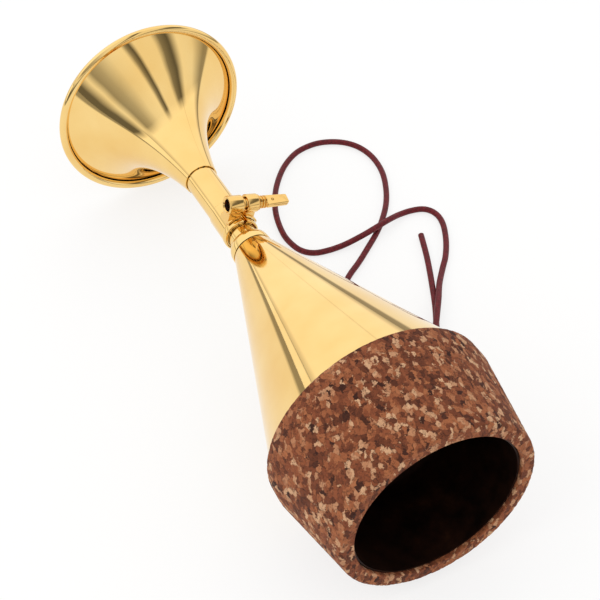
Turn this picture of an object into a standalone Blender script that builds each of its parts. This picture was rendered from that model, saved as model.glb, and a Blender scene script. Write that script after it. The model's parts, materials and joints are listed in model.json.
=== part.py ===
# French horn stop mute: a small flared bell on a sliding tube, a split clamp with a thumb
# screw, and a cone with a cork sleeve that wedges in the horn's throat. It lies on its side,
# on its bell's rim and the widest ring of its cork, with its leather lace on the table.
# Stations are measured along the mute's axis, from the front of the bell's rim.

import math

import bmesh
import bpy
from mathutils import Vector

MM = 0.001

# Clearances between pieces that touch on the real mute
LAP_GAP = 0.2 * MM
SEAM_GAP = 0.3 * MM
SLIDE_GAP = 0.15 * MM

# Bell: a spun flare whose rim is rolled over a wire
MOUTH_RADIUS = 33.65 * MM
FLARE_LENGTH = 46.3 * MM
FLARE_EXPONENT = 3.88
BELL_WALL = 0.35 * MM
BEAD_RADIUS = 1.45 * MM
CURL_SWEEP = math.radians(300)
FLARE_STEPS = 11

# Slide tube, with its front end belled out inside the throat
TUBE_RADIUS = 5.55 * MM
TUBE_WALL = 0.35 * MM
TUBE_LENGTH = 32.5 * MM
THROAT_SEAT = 5.8 * MM
TUBE_SLOT_WIDTH = 1.0 * MM
TUBE_SLOT_LENGTH = 11.0 * MM
SLOT_RELIEF_RADIUS = 0.8 * MM

# Split collar round the tube's rear end
COLLAR_WALL = 0.35 * MM
COLLAR_LENGTH = 12.5 * MM
COLLAR_BEAD_HEIGHT = 0.25 * MM
COLLAR_BEAD_LENGTH = 2.6 * MM
COLLAR_SPLIT = 1.4 * MM

# Clamp lugs: a barrel on a web and a saddle foot, one each side of the split
CLAMP_TILT = math.radians(16)
BARREL_HEIGHT = 10.1 * MM
BARREL_FROM_TUBE_END = 4.3 * MM
BARREL_RADIUS = 3.2 * MM
BARREL_CHAMFER = 0.4 * MM
THREADED_BARREL_LENGTH = 5.5 * MM
PLAIN_BARREL_LENGTH = 4.5 * MM
WEB_THICKNESS = 4.2 * MM
WEB_INSET = 0.8 * MM
SADDLE_THICKNESS = 0.9 * MM
SADDLE_WIDTH = 6.0 * MM
SADDLE_REACH = 5.4 * MM
FACE_STEP = 0.1 * MM

# Thumb screw, its washer and the paddle pinned to it
SCREW_RADIUS = 1.8 * MM
SCREW_GAP = 0.3 * MM
SCREW_REACH = 2.7 * MM
COUNTERSINK = 0.4 * MM
WASHER_RADIUS = 2.75 * MM
WASHER_THICKNESS = 0.5 * MM
SHOULDER_RADIUS = 2.2 * MM
SHOULDER_LENGTH = 2.6 * MM
SHOULDER_GROOVES = 2
GROOVE_DEPTH = 0.4 * MM
PADDLE_ANGLE = math.radians(15)
PADDLE_LENGTH = 8.6 * MM
PADDLE_WIDTH = 4.3 * MM
PADDLE_TIP_WIDTH = 3.7 * MM
PADDLE_THICKNESS = 2.0 * MM
PADDLE_CORNER = 0.7 * MM
TANG_LENGTH = 3.9 * MM
TANG_WIDTH = 2.2 * MM
TANG_THICKNESS = 0.7 * MM
PIN_RADIUS = 0.35 * MM
PIN_PROUD = 0.1 * MM
PIN_FROM_ROOT = 2.5 * MM

# Neck tube and the ferrule that closes the cone's small end round it
NECK_WALL = 0.35 * MM
NECK_INSIDE_TUBE = 29.0 * MM
NECK_INSIDE_CONE = 11.0 * MM
SLIDE_OPENING = 4.5 * MM
FERRULE_LENGTH = 4.7 * MM
FERRULE_RADIUS = 7.25 * MM
FERRULE_BAND = 1.5 * MM
FERRULE_LIP = 0.35 * MM
SPIGOT_LENGTH = 3.0 * MM

# Cone, the base shell lapped into its wide end, and the cork sleeve on that
CONE_LENGTH = 84.4 * MM
CONE_SMALL_RADIUS = 7.1 * MM
CONE_LARGE_RADIUS = 36.1 * MM
CONE_WALL = 0.4 * MM
BASE_WALL = 0.5 * MM
BASE_LAP = 4.2 * MM
BASE_SHOULDER = 3.8 * MM
BASE_SETBACK = 1.5 * MM
CORK_LENGTH = 36.8 * MM
CORK_RADIUS = 37.7 * MM
CORK_FRONT_RADIUS = 37.5 * MM
CORK_END_RADIUS = 32.7 * MM
CORK_WIDEST = 5.5 * MM
CORK_WALL = 4.8 * MM
CORK_SHOULDER_WALL = 3.2 * MM
CORK_ROUNDING = 1.2 * MM

# Strap eye: a wire ring soldered on a pad, on the cone's far lower side
STRAP_STATION = 61.2 * MM
STRAP_ANGLE = math.radians(25)
PAD_RADIUS = 3.7 * MM
PAD_HEIGHT = 1.6 * MM
EYE_RADIUS = 3.0 * MM
EYE_WIRE = 0.75 * MM

# Leather lace, knotted to the eye
LACE_RADIUS = 1.125 * MM
BIGHT_RADIUS = 2.9 * MM
KNOT_LENGTH = 3.5 * MM
KNOT_RADIUS = 2.5 * MM
LOOP_POINTS = 78
TAIL_POINTS = 20
BEND_WEIGHT = 4.0 * MM

# Facets round the large turned pieces, the tubes and the small turned pieces
ROUND = 48
TUBE_ROUND = 36
SMALL_ROUND = 20
WIRE_ROUND = 8

# Route of the lace on the table in millimetres: from the knot behind the cone, round the
# loop and back under the cone to the knot. Where one stretch rides over another, it rises.
LOOP_ROUTE = (
    (44.6, 25.0, 1.2), (43.0, 33.0, 1.2), (37.0, 40.0, 1.2), (29.5, 45.5, 2.2),
    (21.0, 51.0, 3.7), (12.5, 57.0, 3.9), (4.5, 62.6, 3.7), (-3.0, 67.6, 2.3),
    (-10.0, 73.2, 1.2), (-15.3, 77.7, 1.2), (-22.6, 82.3, 1.2), (-30.6, 85.8, 1.2),
    (-36.4, 86.4, 1.2), (-40.6, 84.2, 1.2), (-42.4, 79.5, 1.2), (-42.2, 73.6, 1.7),
    (-39.9, 67.4, 3.4), (-38.1, 61.2, 3.8), (-37.0, 54.6, 3.3), (-37.3, 47.6, 1.6),
    (-37.6, 41.3, 1.2), (-38.6, 36.0, 1.2), (-41.2, 32.4, 1.2), (-45.6, 30.4, 1.2),
    (-52.6, 29.8, 1.2), (-62.2, 31.7, 1.2), (-70.6, 35.1, 1.2), (-79.0, 40.2, 1.2),
    (-87.2, 47.5, 1.2), (-92.5, 55.5, 1.2), (-94.0, 63.4, 1.2), (-92.7, 69.9, 1.2),
    (-89.1, 75.7, 1.2), (-83.6, 79.5, 1.2), (-76.0, 81.1, 1.2), (-67.0, 80.1, 1.2),
    (-58.2, 76.8, 1.2), (-50.2, 72.3, 1.2), (-43.0, 66.5, 1.2), (-37.6, 61.0, 1.2),
    (-32.4, 54.6, 1.2), (-27.1, 47.8, 1.2), (-22.0, 40.6, 1.2), (-14.5, 32.5, 1.2),
    (-3.5, 26.5, 1.2), (10.0, 22.6, 1.2), (23.0, 19.6, 1.2), (31.5, 18.0, 1.5),
)
TAIL_ROUTE = (
    (49.6, 22.0, 1.2), (51.0, 29.0, 1.2), (47.4, 36.6, 1.2), (39.0, 42.8, 1.2),
    (27.5, 49.2, 1.2), (16.5, 54.9, 1.2), (6.0, 60.6, 1.2), (-4.5, 65.5, 1.2),
    (-17.5, 71.1, 1.2), (-29.2, 75.4, 1.2),
)


def collection(name):
    group = bpy.data.collections.new(name)
    bpy.context.scene.collection.children.link(group)
    return group


def material(name, colour, roughness, metallic):
    shader = bpy.data.materials.new(name)
    shader.use_nodes = True
    principled = shader.node_tree.nodes["Principled BSDF"]
    principled.inputs["Base Color"].default_value = (*colour, 1.0)
    principled.inputs["Roughness"].default_value = roughness
    principled.inputs["Metallic"].default_value = metallic
    return shader


def brass(name, colour=(0.80, 0.56, 0.24), roughness=0.12):
    return material(name, colour, roughness, 1.0)


def empty(name, location, rotation=(0.0, 0.0, 0.0), parent=None):
    axis = bpy.data.objects.new(name, None)
    axis.empty_display_size = 10 * MM
    axis.location = location
    axis.rotation_euler = rotation
    axis.parent = parent
    parts.objects.link(axis)
    return axis


def add_object(name, data, parent, shader=None):
    piece = bpy.data.objects.new(name, data)
    piece.parent = parent
    if shader:
        data.materials.append(shader)
        parts.objects.link(piece)
    else:
        piece.hide_render = True
        piece.display_type = "WIRE"
        cutters.objects.link(piece)
    return piece


def turned(name, outline, parent, shader=None, facets=TUBE_ROUND):
    # The outline's (radius, station) points run down the outer side and back up the inside.
    # A flat faces down, so the outline starts half a facet round from it.
    mesh = bpy.data.meshes.new(name)
    closed = outline[0][0] > 0 and outline[-1][0] > 0
    count = len(outline)
    edges = [(i, (i + 1) % count) for i in range(count if closed else count - 1)]
    mesh.from_pydata([(radius, 0.0, station) for radius, station in outline], edges, [])
    piece = add_object(name, mesh, parent, shader)
    piece.rotation_euler.z = math.pi / facets
    screw = piece.modifiers.new("Turn", "SCREW")
    screw.steps = facets
    screw.render_steps = facets
    screw.use_merge_vertices = True
    screw.merge_threshold = 0.01 * MM
    return piece


def box(name, low, high, parent, shader=None):
    mesh = bpy.data.meshes.new(name)
    block = bmesh.new()
    bmesh.ops.create_cube(block, size=1.0)
    size = Vector(high) - Vector(low)
    bmesh.ops.scale(block, vec=size, verts=block.verts)
    bmesh.ops.translate(block, vec=(Vector(high) + Vector(low)) / 2, verts=block.verts)
    block.to_mesh(mesh)
    block.free()
    return add_object(name, mesh, parent, shader)


def rod(name, radius, low, high, parent, facets=SMALL_ROUND):
    return turned(name, [(0.0, high), (radius, high), (radius, low), (0.0, low)], parent,
                  facets=facets)


def boolean(piece, operation, tool):
    modifier = piece.modifiers.new(f"{operation.title()} {tool.name}", "BOOLEAN")
    modifier.operation = operation
    modifier.solver = "EXACT"
    modifier.object = tool


def cut(piece, *tools):
    for tool in tools:
        boolean(piece, "DIFFERENCE", tool)


def join(piece, *tools):
    for tool in tools:
        boolean(piece, "UNION", tool)


def as_mesh(curve_object, shader=None):
    # A curve that is cut or joined first becomes a mesh with its caps welded on.
    bpy.context.view_layer.update()
    evaluated = curve_object.evaluated_get(bpy.context.evaluated_depsgraph_get())
    mesh = bpy.data.meshes.new_from_object(evaluated)
    name = curve_object.name
    parent = curve_object.parent
    location = curve_object.location.copy()
    rotation = curve_object.rotation_euler.copy()
    bpy.data.objects.remove(curve_object)
    skin = bmesh.new()
    skin.from_mesh(mesh)
    bmesh.ops.remove_doubles(skin, verts=skin.verts, dist=0.001 * MM)
    skin.to_mesh(mesh)
    skin.free()
    mesh.materials.clear()
    piece = add_object(name, mesh, parent, shader)
    piece.name = name
    piece.location = location
    piece.rotation_euler = rotation
    return piece


def angle_steps(marks, step):
    # Angles from the first mark to the last that land on every mark between.
    angles = [marks[0]]
    for start, end in zip(marks, marks[1:]):
        count = max(1, math.ceil(abs(end - start) / step - 0.01))
        angles += [start + (end - start) * i / count for i in range(1, count + 1)]
    return angles


def arc(centre, radii, angles):
    # Angle 0 points to the rear along the axis and a quarter turn points outwards.
    return [(centre[0] + radii[0] * math.sin(a), centre[1] + radii[1] * math.cos(a))
            for a in angles]


def straight_to(profile, station):
    # Radius at a station on the line through two (radius, station) points.
    (r0, s0), (r1, s1) = profile
    return r0 + (r1 - r0) * (station - s0) / (s1 - s0)


# Bell flare: the radius falls with the distance from the mouth as a power law, the form
# that a spun brass bell has. Depths are taken square to its back surface.
throat_radius = TUBE_RADIUS + LAP_GAP + BELL_WALL
flare_scale = FLARE_LENGTH / ((MOUTH_RADIUS / throat_radius) ** (1 / FLARE_EXPONENT) - 1)
mouth_slope = math.atan(FLARE_EXPONENT * MOUTH_RADIUS / flare_scale)
curl_inside = BEAD_RADIUS - BELL_WALL
mouth_station = BEAD_RADIUS - curl_inside * math.sin(mouth_slope)
bead_centre = (MOUTH_RADIUS + curl_inside * math.cos(mouth_slope), BEAD_RADIUS)
rim_radius = bead_centre[0] + BEAD_RADIUS

# Stations of the joints between pieces, front to rear
throat_station = mouth_station + FLARE_LENGTH
tube_end = throat_station + TUBE_LENGTH
collar_end = tube_end + LAP_GAP
collar_front = collar_end - COLLAR_LENGTH
barrel_station = tube_end - BARREL_FROM_TUBE_END
ferrule_front = tube_end + SLIDE_OPENING
cone_front = ferrule_front + FERRULE_LENGTH + SEAM_GAP
cone_end = cone_front + CONE_LENGTH
open_end = cone_end + CORK_LENGTH
widest_station = cone_end + CORK_WIDEST

tube_bore = TUBE_RADIUS - TUBE_WALL
neck_radius = tube_bore - SLIDE_GAP
collar_bore = TUBE_RADIUS + LAP_GAP
collar_radius = collar_bore + COLLAR_WALL
cone_slope = math.atan((CONE_LARGE_RADIUS - CONE_SMALL_RADIUS) / CONE_LENGTH)
cone_line = ((CONE_SMALL_RADIUS, cone_front), (CONE_LARGE_RADIUS, cone_end))


def flare_point(distance, depth):
    radius = MOUTH_RADIUS * (1 + distance / flare_scale) ** -FLARE_EXPONENT
    slope = math.atan(FLARE_EXPONENT * radius / (flare_scale + distance))
    return (radius - depth * math.cos(slope), mouth_station + distance - depth * math.sin(slope))


def make_bell():
    ratio = 1 + FLARE_LENGTH / flare_scale
    distances = [flare_scale * (ratio ** (i / FLARE_STEPS) - 1) for i in range(FLARE_STEPS + 1)]
    curl_start = math.pi * 1.5 - mouth_slope
    curl_end = curl_start - CURL_SWEEP
    marks = (curl_end, 0.0, math.pi / 2, math.pi, curl_start)
    outer_angles = angle_steps(marks, math.radians(46))
    inner_angles = angle_steps(marks, math.radians(61))
    outline = [flare_point(distance, 0.0) for distance in reversed(distances)]
    outline += arc(bead_centre, (curl_inside, curl_inside), inner_angles[-2::-1])
    outline += arc(bead_centre, (BEAD_RADIUS, BEAD_RADIUS), outer_angles)
    outline += [flare_point(distance, BELL_WALL) for distance in distances[1:]]
    turned("bell_flare", outline, mute_axis, brass("bell brass"), ROUND)
    wire = curl_inside - BELL_WALL
    ring = arc(bead_centre, (wire, wire), angle_steps((0.0, math.tau), math.tau / 8)[:-1])
    turned("rim_wire", ring, mute_axis, brass("rim wire brass"), ROUND)


def make_slide_tube():
    seat = [FLARE_LENGTH - THROAT_SEAT * share for share in (0.35, 0.7, 1.0)]
    skin = BELL_WALL + LAP_GAP
    outline = [(TUBE_RADIUS, tube_end), (TUBE_RADIUS, throat_station)]
    outline += [flare_point(distance, skin) for distance in seat]
    outline += [flare_point(distance, skin + TUBE_WALL) for distance in reversed(seat)]
    outline += [(tube_bore, throat_station), (tube_bore, tube_end)]
    tube = turned("slide_tube", outline, mute_axis, brass("slide tube brass"))
    slot = box("tube slot", (-BARREL_HEIGHT, BARREL_FROM_TUBE_END - TUBE_SLOT_LENGTH,
                             -TUBE_SLOT_WIDTH / 2),
               (0.0, BARREL_FROM_TUBE_END + MM, TUBE_SLOT_WIDTH / 2), screw_axis)
    relief = rod("slot relief", SLOT_RELIEF_RADIUS, -BARREL_HEIGHT, 0.0, screw_axis, 12)
    relief.location.y = BARREL_FROM_TUBE_END - TUBE_SLOT_LENGTH
    relief.rotation_euler = (0.0, math.pi / 2, 0.0)
    relief.scale.z = -1.0
    cut(tube, slot, relief)


def make_collar():
    bead = arc((collar_radius, collar_end - COLLAR_BEAD_LENGTH / 2),
               (COLLAR_BEAD_HEIGHT, COLLAR_BEAD_LENGTH / 2),
               angle_steps((0.0, math.pi), math.pi / 5))
    outline = bead
    outline += [(collar_radius, collar_front + COLLAR_WALL / 2),
                (collar_radius - COLLAR_WALL / 2, collar_front),
                (collar_bore, collar_front), (collar_bore, collar_end)]
    collar = turned("split_collar", outline, mute_axis, brass("collar brass"))
    split = box("collar split", (-BARREL_HEIGHT, -COLLAR_LENGTH, -COLLAR_SPLIT / 2),
                (0.0, COLLAR_LENGTH, COLLAR_SPLIT / 2), screw_axis)
    cut(collar, split)


def make_lug(name, side, barrel_length, shader):
    # In the screw's frame X points away from the tube, Y to the cork and Z along the screw.
    near = COLLAR_SPLIT / 2
    far = near + barrel_length
    low, high = sorted((side * near, side * far))
    outline = [(0.0, high), (BARREL_RADIUS - BARREL_CHAMFER, high),
               (BARREL_RADIUS, high - BARREL_CHAMFER), (BARREL_RADIUS, low + BARREL_CHAMFER),
               (BARREL_RADIUS - BARREL_CHAMFER, low), (0.0, low)]
    lug = turned(name, outline, screw_axis, shader)
    web_low, web_high = sorted((side * (near + FACE_STEP), side * (far - WEB_INSET)))
    web = box(f"{name} web", (-BARREL_HEIGHT + collar_bore / 2, -WEB_THICKNESS / 2, web_low),
              (0.0, WEB_THICKNESS / 2, web_high), screw_axis)
    foot_radius = collar_radius + LAP_GAP + SADDLE_THICKNESS
    front = barrel_station - SADDLE_WIDTH / 2
    rear = barrel_station + SADDLE_WIDTH / 2
    edge = SADDLE_THICKNESS / 3
    ring = [(foot_radius - edge, rear), (foot_radius, rear - edge), (foot_radius, front + edge),
            (foot_radius - edge, front), (collar_bore, front), (collar_bore, rear)]
    saddle = turned(f"{name} saddle", ring, mute_axis)
    reach_low, reach_high = sorted((side * (near + 2 * FACE_STEP), side * SADDLE_REACH))
    reach = box(f"{name} saddle reach", (-BARREL_HEIGHT, -SADDLE_WIDTH, reach_low),
                (0.0, SADDLE_WIDTH, reach_high), screw_axis)
    boolean(saddle, "INTERSECT", reach)
    seat = rod(f"{name} seat", collar_radius + LAP_GAP, collar_front - MM, collar_end + MM,
               mute_axis, TUBE_ROUND)
    bead_room = collar_radius + COLLAR_BEAD_HEIGHT + LAP_GAP
    bead_seat = rod(f"{name} bead seat", bead_room, collar_end - COLLAR_BEAD_LENGTH - LAP_GAP,
                    collar_end + MM, mute_axis, TUBE_ROUND)
    bore_radius = SCREW_RADIUS + SCREW_GAP
    mouth = bore_radius + COUNTERSINK
    bore = turned(f"{name} bore", [(0.0, high + MM), (mouth, high + MM), (mouth, high),
                                   (bore_radius, high - COUNTERSINK),
                                   (bore_radius, low + COUNTERSINK), (mouth, low),
                                   (mouth, low - MM), (0.0, low - MM)],
                  screw_axis, facets=SMALL_ROUND)
    join(lug, web, saddle)
    cut(lug, seat, bead_seat, bore)


def make_screw():
    washer_low = COLLAR_SPLIT / 2 + PLAIN_BARREL_LENGTH + LAP_GAP
    washer_high = washer_low + WASHER_THICKNESS
    hole = SCREW_RADIUS + SCREW_GAP
    turned("screw_washer", [(WASHER_RADIUS, washer_high), (WASHER_RADIUS, washer_low),
                            (hole, washer_low), (hole, washer_high)],
           screw_axis, brass("washer brass"), SMALL_ROUND)

    shoulder_low = washer_high + LAP_GAP
    shoulder_high = shoulder_low + SHOULDER_LENGTH
    pitch = SHOULDER_LENGTH / (2 * SHOULDER_GROOVES + 1)
    outline = [(0.0, shoulder_high)]
    for i in range(SHOULDER_GROOVES):
        top = shoulder_high - 2 * i * pitch
        bevel = pitch / 4
        outline += [(SHOULDER_RADIUS, top), (SHOULDER_RADIUS, top - pitch),
                    (SHOULDER_RADIUS - GROOVE_DEPTH, top - pitch - bevel),
                    (SHOULDER_RADIUS - GROOVE_DEPTH, top - 2 * pitch + bevel)]
    tip = -COLLAR_SPLIT / 2 - SCREW_REACH
    point = SCREW_RADIUS / 4
    outline += [(SHOULDER_RADIUS, shoulder_low + pitch), (SHOULDER_RADIUS, shoulder_low),
                (SCREW_RADIUS, shoulder_low), (SCREW_RADIUS, tip + point),
                (SCREW_RADIUS - point, tip), (0.0, tip)]
    screw = turned("thumb_screw", outline, screw_axis, brass("screw brass"), SMALL_ROUND)
    paddle_low = shoulder_high + LAP_GAP
    tang_end = paddle_low + TANG_LENGTH
    tang = box("screw tang", (-TANG_THICKNESS / 2, -TANG_WIDTH / 2, shoulder_high - pitch / 2),
               (TANG_THICKNESS / 2, TANG_WIDTH / 2, tang_end), paddle_axis)
    hole_depth = PADDLE_THICKNESS
    pin_hole = rod("pin hole", PIN_RADIUS + LAP_GAP, -hole_depth, hole_depth, paddle_axis, 12)
    pin_hole.location.z = paddle_low + PIN_FROM_ROOT
    pin_hole.rotation_euler = (0.0, math.pi / 2, 0.0)
    join(screw, tang)
    cut(screw, pin_hole)

    half = PADDLE_WIDTH / 2
    tip_half = PADDLE_TIP_WIDTH / 2
    corners = []
    for side in (1, -1):
        turn = [math.pi / 2 * share for share in (0.0, 0.5, 1.0)][::side]
        for a in turn:
            corners.append((PADDLE_LENGTH - PADDLE_CORNER * (1 - math.sin(a)),
                            side * (tip_half - PADDLE_CORNER * (1 - math.cos(a)))))
    rim = [(0.0, half)] + corners + [(0.0, -half)]
    curve = bpy.data.curves.new("thumb_paddle", "CURVE")
    curve.dimensions = "2D"
    curve.fill_mode = "BOTH"
    curve.extrude = PADDLE_THICKNESS / 2
    outline = curve.splines.new("POLY")
    outline.points.add(len(rim) - 1)
    outline.use_cyclic_u = True
    for point, (along, across) in zip(outline.points, rim):
        point.co = (along, across, 0.0, 1.0)
    blade = bpy.data.objects.new("thumb_paddle", curve)
    blade.parent = paddle_axis
    blade.location.z = paddle_low
    blade.rotation_euler = (0.0, -math.pi / 2, 0.0)
    parts.objects.link(blade)
    paddle = as_mesh(blade, brass("paddle brass"))
    gap = LAP_GAP
    socket = box("tang socket", (-TANG_THICKNESS / 2 - gap, -TANG_WIDTH / 2 - gap,
                                 paddle_low - MM),
                 (TANG_THICKNESS / 2 + gap, TANG_WIDTH / 2 + gap, tang_end + gap), paddle_axis)
    cut(paddle, socket, pin_hole)

    reach = PADDLE_THICKNESS / 2 + PIN_PROUD
    pin = turned("paddle_pin", [(0.0, reach), (PIN_RADIUS, reach), (PIN_RADIUS, -reach),
                                (0.0, -reach)],
                 paddle_axis, brass("pin brass", (0.55, 0.38, 0.17), 0.3), 12)
    pin.location.z = paddle_low + PIN_FROM_ROOT
    pin.rotation_euler = (0.0, math.pi / 2, 0.0)


def make_neck():
    front = tube_end - NECK_INSIDE_TUBE
    rear = cone_front + NECK_INSIDE_CONE
    bore = neck_radius - NECK_WALL
    turned("neck_tube", [(neck_radius, rear), (neck_radius, front), (bore, front), (bore, rear)],
           mute_axis, brass("neck tube brass"))

    hole = neck_radius + LAP_GAP
    shoulder = ferrule_front + FERRULE_LENGTH
    spigot = CONE_SMALL_RADIUS - CONE_WALL / math.cos(cone_slope) - LAP_GAP
    round_length = FERRULE_LENGTH - FERRULE_BAND
    lip = hole + FERRULE_LIP
    nose = arc((lip, ferrule_front + round_length), (FERRULE_RADIUS - lip, round_length),
               angle_steps((math.pi / 2, math.pi), math.radians(18.5)))
    turned("neck_ferrule", [(spigot, cone_front + SPIGOT_LENGTH), (spigot, shoulder),
                            (FERRULE_RADIUS, shoulder)] + nose
           + [(hole, ferrule_front), (hole, cone_front + SPIGOT_LENGTH)],
           mute_axis, brass("ferrule brass"))


def make_cone():
    wall = CONE_WALL / math.cos(cone_slope)
    outer = [(CONE_LARGE_RADIUS, cone_end), (CONE_SMALL_RADIUS, cone_front)]
    inner = [(radius - wall, station) for radius, station in reversed(outer)]
    turned("cone_shell", outer + inner, mute_axis, brass("cone brass"), ROUND)

    # The base shell laps inside the cone, turns at its edge and tapers in under the cork.
    lap = wall + LAP_GAP
    lap_front = cone_end - BASE_LAP
    turn = cone_end + BASE_SHOULDER / 5
    shoulder = cone_end + BASE_SHOULDER
    end = open_end - BASE_SETBACK
    outer = [(straight_to(cork_bore, end) - SEAM_GAP, end),
             (straight_to(cork_bore, shoulder) - SEAM_GAP, shoulder),
             (CONE_LARGE_RADIUS - lap + LAP_GAP / 2, turn),
             (CONE_LARGE_RADIUS - lap, cone_end),
             (straight_to(cone_line, lap_front) - lap, lap_front)]
    inner = [(radius - BASE_WALL, station) for radius, station in reversed(outer)]
    turned("base_shell", outer + inner, mute_axis, brass("base brass"), ROUND)


def make_cork():
    edge = CORK_FRONT_RADIUS - CORK_RADIUS / 100
    corner_station = open_end - CORK_ROUNDING
    taper = ((CORK_RADIUS, widest_station), (CORK_END_RADIUS, open_end))
    corner = straight_to(taper, corner_station)
    rounding = arc((end_flat_radius, corner_station), (corner - end_flat_radius, CORK_ROUNDING),
                   angle_steps((0.0, math.pi / 2), math.radians(31)))
    outline = rounding
    outline += [(CORK_RADIUS, widest_station),
                (CORK_FRONT_RADIUS, cone_end + CORK_ROUNDING / 3), (edge, cone_end),
                (CONE_LARGE_RADIUS + SEAM_GAP, cone_end), cork_bore[0], cork_bore[1]]
    cork = material("cork", (0.38, 0.17, 0.08), 0.85, 0.0)
    turned("cork_sleeve", outline, mute_axis, cork, ROUND)


def make_strap_eye():
    pad = turned("strap_pad", [(0.0, PAD_HEIGHT), (PAD_RADIUS - LAP_GAP, PAD_HEIGHT),
                               (PAD_RADIUS, PAD_HEIGHT - LAP_GAP), (PAD_RADIUS, -PAD_HEIGHT),
                               (0.0, -PAD_HEIGHT)],
                 strap_axis, brass("pad brass"), SMALL_ROUND)
    room = LAP_GAP / math.cos(cone_slope)
    clear_cone = turned("cone clearance", [(0.0, cone_end), (CONE_LARGE_RADIUS + room, cone_end),
                                           (CONE_SMALL_RADIUS + room, cone_front),
                                           (0.0, cone_front)], mute_axis, facets=ROUND)
    groove = turned("eye groove", wire_ring(EYE_WIRE + LAP_GAP), eye_axis, facets=24)
    cut(pad, clear_cone, groove)
    turned("strap_eye", wire_ring(EYE_WIRE), eye_axis, brass("eye brass"), 24)


def wire_ring(thickness):
    return arc((EYE_RADIUS, 0.0), (thickness, thickness),
               angle_steps((0.0, math.tau), math.tau / WIRE_ROUND)[:-1])


def make_knot(leather):
    # The lace's bight goes through the eye and round its wire, into the knot's lump.
    outline = arc((BIGHT_RADIUS, 0.0), (LACE_RADIUS, LACE_RADIUS),
                  angle_steps((0.0, math.tau), math.tau / WIRE_ROUND)[:-1])
    bight = turned("lace_knot", outline, bight_axis, leather, SMALL_ROUND)
    mesh = bpy.data.meshes.new("knot lump")
    ball = bmesh.new()
    bmesh.ops.create_uvsphere(ball, u_segments=16, v_segments=10, radius=KNOT_RADIUS)
    bmesh.ops.scale(ball, vec=(KNOT_LENGTH / KNOT_RADIUS, 1.0, 1.0), verts=ball.verts)
    ball.to_mesh(mesh)
    ball.free()
    lump = add_object("knot lump", mesh, None)
    lump.location = knot_centre()
    join(bight, lump)


def knot_centre():
    bpy.context.view_layer.update()
    hang = EYE_RADIUS + EYE_WIRE + SEAM_GAP + KNOT_LENGTH
    centre = eye_axis.matrix_world @ Vector((0.0, 0.0, 0.0))
    outwards = strap_axis.matrix_world.to_3x3() @ Vector((0.0, 0.0, 1.0))
    centre += outwards * hang
    centre.z = max(centre.z, KNOT_RADIUS)
    return centre


def smooth_route(points, count):
    # A Catmull-Rom curve through the points, read at even steps of length and turning.
    path = [points[0] * 2 - points[1], *points, points[-1] * 2 - points[-2]]
    fine = []
    for a, b, c, d in zip(path, path[1:], path[2:], path[3:]):
        for i in range(12):
            t = i / 12
            fine.append(0.5 * (2 * b + (c - a) * t + (2 * a - 5 * b + 4 * c - d) * t ** 2
                               + (3 * b - a - 3 * c + d) * t ** 3))
    fine.append(points[-1])
    measure = [0.0]
    for i in range(1, len(fine)):
        step = (fine[i] - fine[i - 1]).length
        turn = 0.0
        if i < len(fine) - 1:
            turn = (fine[i + 1] - fine[i]).angle(fine[i] - fine[i - 1])
        measure.append(measure[-1] + step + BEND_WEIGHT * turn)
    table = min(point.z for point in points)
    chosen = []
    k = 0
    for i in range(count):
        target = measure[-1] * i / (count - 1)
        while k < len(measure) - 2 and measure[k + 1] < target:
            k += 1
        share = (target - measure[k]) / (measure[k + 1] - measure[k])
        place = fine[k].lerp(fine[k + 1], min(max(share, 0.0), 1.0))
        place.z = max(place.z, table)
        chosen.append(place)
    return chosen


def make_lace(name, route, count, leather):
    curve = bpy.data.curves.new(name, "CURVE")
    curve.dimensions = "3D"
    curve.bevel_depth = LACE_RADIUS
    curve.bevel_resolution = 2
    curve.use_fill_caps = True
    spline = curve.splines.new("POLY")
    spline.points.add(count - 1)
    spline.use_smooth = True
    points = smooth_route([Vector(point) for point in route], count)
    for point, place in zip(spline.points, points):
        point.co = (*place, 1.0)
    curve.materials.append(leather)
    lace = bpy.data.objects.new(name, curve)
    parts.objects.link(lace)
    length = sum((b - a).length for a, b in zip(points, points[1:]))
    print(f"{name}: {length / MM:.0f} mm long")


def knot_exit(towards):
    # A point just clear of the knot's lump, on the way to the next point of the route.
    centre = knot_centre()
    way = (towards - centre).normalized()
    stretched = Vector((way.x * KNOT_RADIUS / KNOT_LENGTH, way.y, way.z))
    return centre + way * (KNOT_RADIUS / stretched.length + SEAM_GAP)


def apply_modifiers():
    # Each piece keeps its finished mesh, smooth where it is round and sharp at its edges.
    bpy.context.view_layer.update()
    depsgraph = bpy.context.evaluated_depsgraph_get()
    finished = {}
    for piece in parts.objects:
        if piece.type == "MESH":
            finished[piece] = bpy.data.meshes.new_from_object(piece.evaluated_get(depsgraph))
    for piece, mesh in finished.items():
        piece.modifiers.clear()
        piece.data = mesh
        mesh.name = piece.name
        mesh.shade_smooth()
        mesh.set_sharp_from_angle(angle=math.radians(35))


for old in list(bpy.data.objects):
    bpy.data.objects.remove(old, do_unlink=True)
parts = collection("french_horn_stop_mute")
cutters = collection("cutters")

# The mute rests on flats of its rim and of the cork's widest ring, so its axis rises a
# little towards the cork. The frame's origin is under the middle of its length.
flat = math.cos(math.pi / ROUND)
end_flat_radius = CORK_END_RADIUS - CORK_ROUNDING
cork_bore = ((CORK_RADIUS - CORK_SHOULDER_WALL, cone_end + BASE_SHOULDER),
             (CORK_END_RADIUS - CORK_WALL, open_end))
rise = math.atan((CORK_RADIUS - rim_radius) * flat / (widest_station - BEAD_RADIUS))
axis_height = rim_radius * flat * math.cos(rise) - BEAD_RADIUS * math.sin(rise)
end_overhang = (end_flat_radius - bead_centre[0]) * flat * math.sin(rise)
axis_start = -(open_end * math.cos(rise) + end_overhang) / 2

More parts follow.
